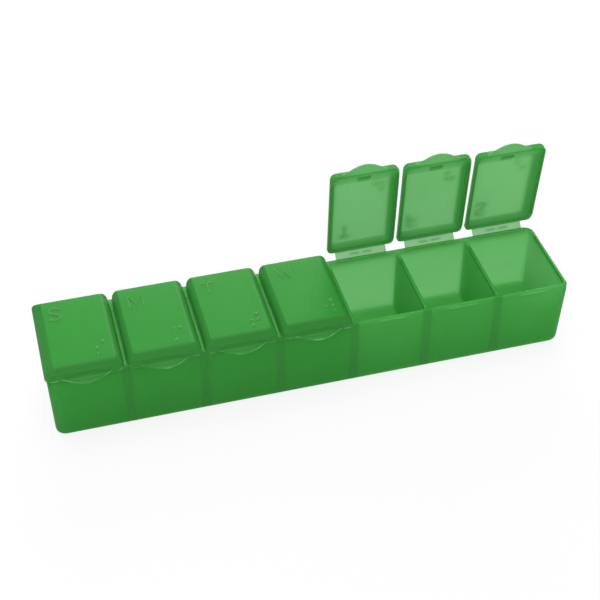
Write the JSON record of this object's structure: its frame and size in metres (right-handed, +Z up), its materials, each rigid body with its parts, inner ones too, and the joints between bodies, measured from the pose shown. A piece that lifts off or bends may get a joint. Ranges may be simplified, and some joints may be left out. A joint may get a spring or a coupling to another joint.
{
  "type": "weekly pill box",
  "caption": "Weekly pill box: a row of compartments in one translucent green tray, each under its own flip lid on a living hinge.",
  "frame": {"origin": "centre of the tray's flat underside", "axes": "+X along the row from the first day to the last, +Y towards the hinges, +Z up out of the compartments"},
  "size_m": [0.151, 0.0366, 0.0563],
  "materials": {
    "tray_plastic": "satin translucent polypropylene",
    "lid_plastic": "satin translucent polypropylene",
    "film_plastic": "thin, paler where it bends"
  },
  "bodies": {
    "tray": {"tray": "tray_plastic", "hinge_film_sunday": "film_plastic", "hinge_film_monday": "film_plastic", "hinge_film_tuesday": "film_plastic", "hinge_film_wednesday": "film_plastic", "hinge_film_thursday": "film_plastic", "hinge_film_friday": "film_plastic", "hinge_film_saturday": "film_plastic"},
    "lid_sunday": {"lid_sunday": "lid_plastic"},
    "lid_monday": {"lid_monday": "lid_plastic"},
    "lid_tuesday": {"lid_tuesday": "lid_plastic"},
    "lid_wednesday": {"lid_wednesday": "lid_plastic"},
    "lid_thursday": {"lid_thursday": "lid_plastic"},
    "lid_friday": {"lid_friday": "lid_plastic"},
    "lid_saturday": {"lid_saturday": "lid_plastic"}
  },
  "joints": [
    {"name": "sunday_hinge", "type": "hinge", "parent": "tray", "child": "lid_sunday", "pos_m": [-0.06429, 0.01565, 0.0227], "axis": [-1, 0, 0], "range_deg": [0, 180], "deforming": ["hinge_film_sunday"]},
    {"name": "monday_hinge", "type": "hinge", "parent": "tray", "child": "lid_monday", "pos_m": [-0.04286, 0.01565, 0.0227], "axis": [-1, 0, 0], "range_deg": [0, 180], "deforming": ["hinge_film_monday"]},
    {"name": "tuesday_hinge", "type": "hinge", "parent": "tray", "child": "lid_tuesday", "pos_m": [-0.02143, 0.01565, 0.0227], "axis": [-1, 0, 0], "range_deg": [0, 180], "deforming": ["hinge_film_tuesday"]},
    {"name": "wednesday_hinge", "type": "hinge", "parent": "tray", "child": "lid_wednesday", "pos_m": [0, 0.01565, 0.0227], "axis": [-1, 0, 0], "range_deg": [0, 180], "deforming": ["hinge_film_wednesday"]},
    {"name": "thursday_hinge", "type": "hinge", "parent": "tray", "child": "lid_thursday", "pos_m": [0.02143, 0.01565, 0.0227], "axis": [-1, 0, 0], "range_deg": [-85.7, 94.3], "deforming": ["hinge_film_thursday"]},
    {"name": "friday_hinge", "type": "hinge", "parent": "tray", "child": "lid_friday", "pos_m": [0.04286, 0.01565, 0.0227], "axis": [-1, 0, 0], "range_deg": [-84.7, 95.3], "deforming": ["hinge_film_friday"]},
    {"name": "saturday_hinge", "type": "hinge", "parent": "tray", "child": "lid_saturday", "pos_m": [0.06429, 0.01565, 0.0227], "axis": [-1, 0, 0], "range_deg": [-83.5, 96.5], "deforming": ["hinge_film_saturday"]}
  ]
}
